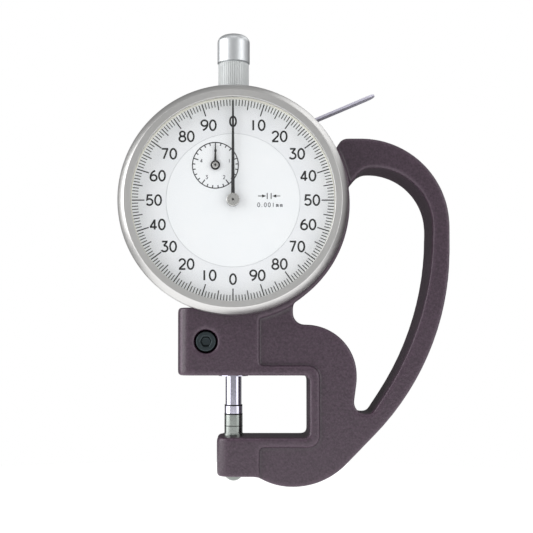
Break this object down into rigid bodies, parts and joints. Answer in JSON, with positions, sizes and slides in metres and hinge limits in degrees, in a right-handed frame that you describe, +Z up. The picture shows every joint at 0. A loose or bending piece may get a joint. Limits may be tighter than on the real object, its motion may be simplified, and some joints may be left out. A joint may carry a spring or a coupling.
{
  "type": "dial thickness gauge",
  "caption": "Dial thickness gauge: a dial indicator clamped in a cast C-frame with a grip loop, with a thumb lever that lifts the spindle off the anvil.",
  "frame": {"origin": "centre of the fixed anvil's measuring face, on the spindle axis", "axes": "+Z up along the spindle, +Y to the back, so the dial faces -Y, +X towards the grip"},
  "size_m": [0.0893, 0.0252, 0.1247],
  "materials": {
    "enamel": "dark brown textured enamel on a casting",
    "satin_bezel": "satin plated, serrated rim",
    "satin_case": "satin plated",
    "tool_steel": "ground",
    "carbide": "lapped",
    "plated_steel": "bright plated",
    "chrome_lever": "polished",
    "spring_steel": "drawn",
    "brass": "machined",
    "crystal": "clear",
    "spacer": "matt",
    "dial_white": "matt white",
    "hand_black": "matt black",
    "jewel": "synthetic jewel"
  },
  "bodies": {
    "frame": {"frame": "enamel", "anvil": "tool_steel", "anvil_tip": "carbide", "anvil_screw": "plated_steel", "clamp_screw": "plated_steel", "case": "satin_case", "stem": "tool_steel", "stem_bushes": "brass", "upper_sleeve": "satin_case", "dust_cap": "satin_case", "back_cover": "satin_case", "cover_screws": "plated_steel", "snap_ring": "spring_steel", "inner_dial": "dial_white", "front_plate": "brass", "rear_plate": "brass", "pillars": "brass", "pillar_screws": "plated_steel", "plate_screws": "plated_steel", "jewel_bearings": "jewel", "guide_post": "brass", "return_spring": "spring_steel", "hairspring": "spring_steel", "hairspring_stud": "brass", "lever_pin": "tool_steel"},
    "bezel": {"bezel": "satin_bezel", "crystal": "crystal", "spacer_ring": "spacer", "scale_ring": "dial_white"},
    "spindle": {"spindle": "tool_steel", "contact_holder": "tool_steel", "contact_tip": "carbide", "lift_collar": "tool_steel", "guide_pin": "tool_steel"},
    "rack_shaft": {"rack_arbor": "tool_steel", "rack_pinion": "brass", "sector_gear": "brass"},
    "second_shaft": {"second_arbor": "tool_steel", "second_pinion": "brass", "second_wheel": "brass", "counter_drive": "brass"},
    "centre_shaft": {"centre_arbor": "tool_steel", "centre_pinion": "brass", "main_hand": "hand_black"},
    "counter_shaft": {"counter_arbor": "tool_steel", "counter_wheel": "brass", "counter_hand": "hand_black"},
    "take_up_shaft": {"take_up_arbor": "tool_steel", "take_up_wheel": "brass"},
    "lever": {"lift_lever": "chrome_lever"}
  },
  "joints": [
    {"name": "hand_turn", "type": "hinge", "parent": "frame", "child": "centre_shaft", "pos_m": [0, 0, 0.0606], "axis": [0, 1, 0], "range_deg": [0, 1980]},
    {"name": "spindle_slide", "type": "slide", "parent": "frame", "child": "spindle", "axis": [0, 0, 1], "range_m": [0, 0.0011], "stiffness_N_per_m": 150, "springref_m": -0.006, "deforming": ["return_spring"]},
    {"name": "rack_turn", "type": "hinge", "parent": "frame", "child": "rack_shaft", "pos_m": [0.00319, 0, 0.05597], "axis": [0, 1, 0], "range_deg": [0, 39.6]},
    {"name": "second_turn", "type": "hinge", "parent": "frame", "child": "second_shaft", "pos_m": [0.00034, 0, 0.06659], "axis": [0, 1, 0], "range_deg": [-396, 0]},
    {"name": "counter_turn", "type": "hinge", "parent": "frame", "child": "counter_shaft", "pos_m": [-0.00468, 0, 0.06988], "axis": [0, 1, 0], "range_deg": [0, 396]},
    {"name": "take_up_turn", "type": "hinge", "parent": "frame", "child": "take_up_shaft", "pos_m": [-0.00491, 0, 0.05716], "axis": [0, 1, 0], "range_deg": [-396, 0], "deforming": ["hairspring"]},
    {"name": "lever_turn", "type": "hinge", "parent": "frame", "child": "lever", "pos_m": [0.01127, 0, 0.07987], "axis": [0, 1, 0], "range_deg": [0, 7.5]},
    {"name": "bezel_turn", "type": "hinge", "parent": "frame", "child": "bezel", "pos_m": [0, 0, 0.0606], "axis": [0, 1, 0], "continuous": true}
  ],
  "couplings": [
    {"joint": "hand_turn", "follows": "spindle_slide", "rad_per_m": 31416},
    {"joint": "rack_turn", "follows": "spindle_slide", "rad_per_m": 628.32},
    {"joint": "second_turn", "follows": "spindle_slide", "rad_per_m": -6283.2},
    {"joint": "counter_turn", "follows": "spindle_slide", "rad_per_m": 6283.2},
    {"joint": "take_up_turn", "follows": "spindle_slide", "rad_per_m": -6283.2},
    {"joint": "lever_turn", "follows": "spindle_slide", "rad_per_m": 119}
  ]
}
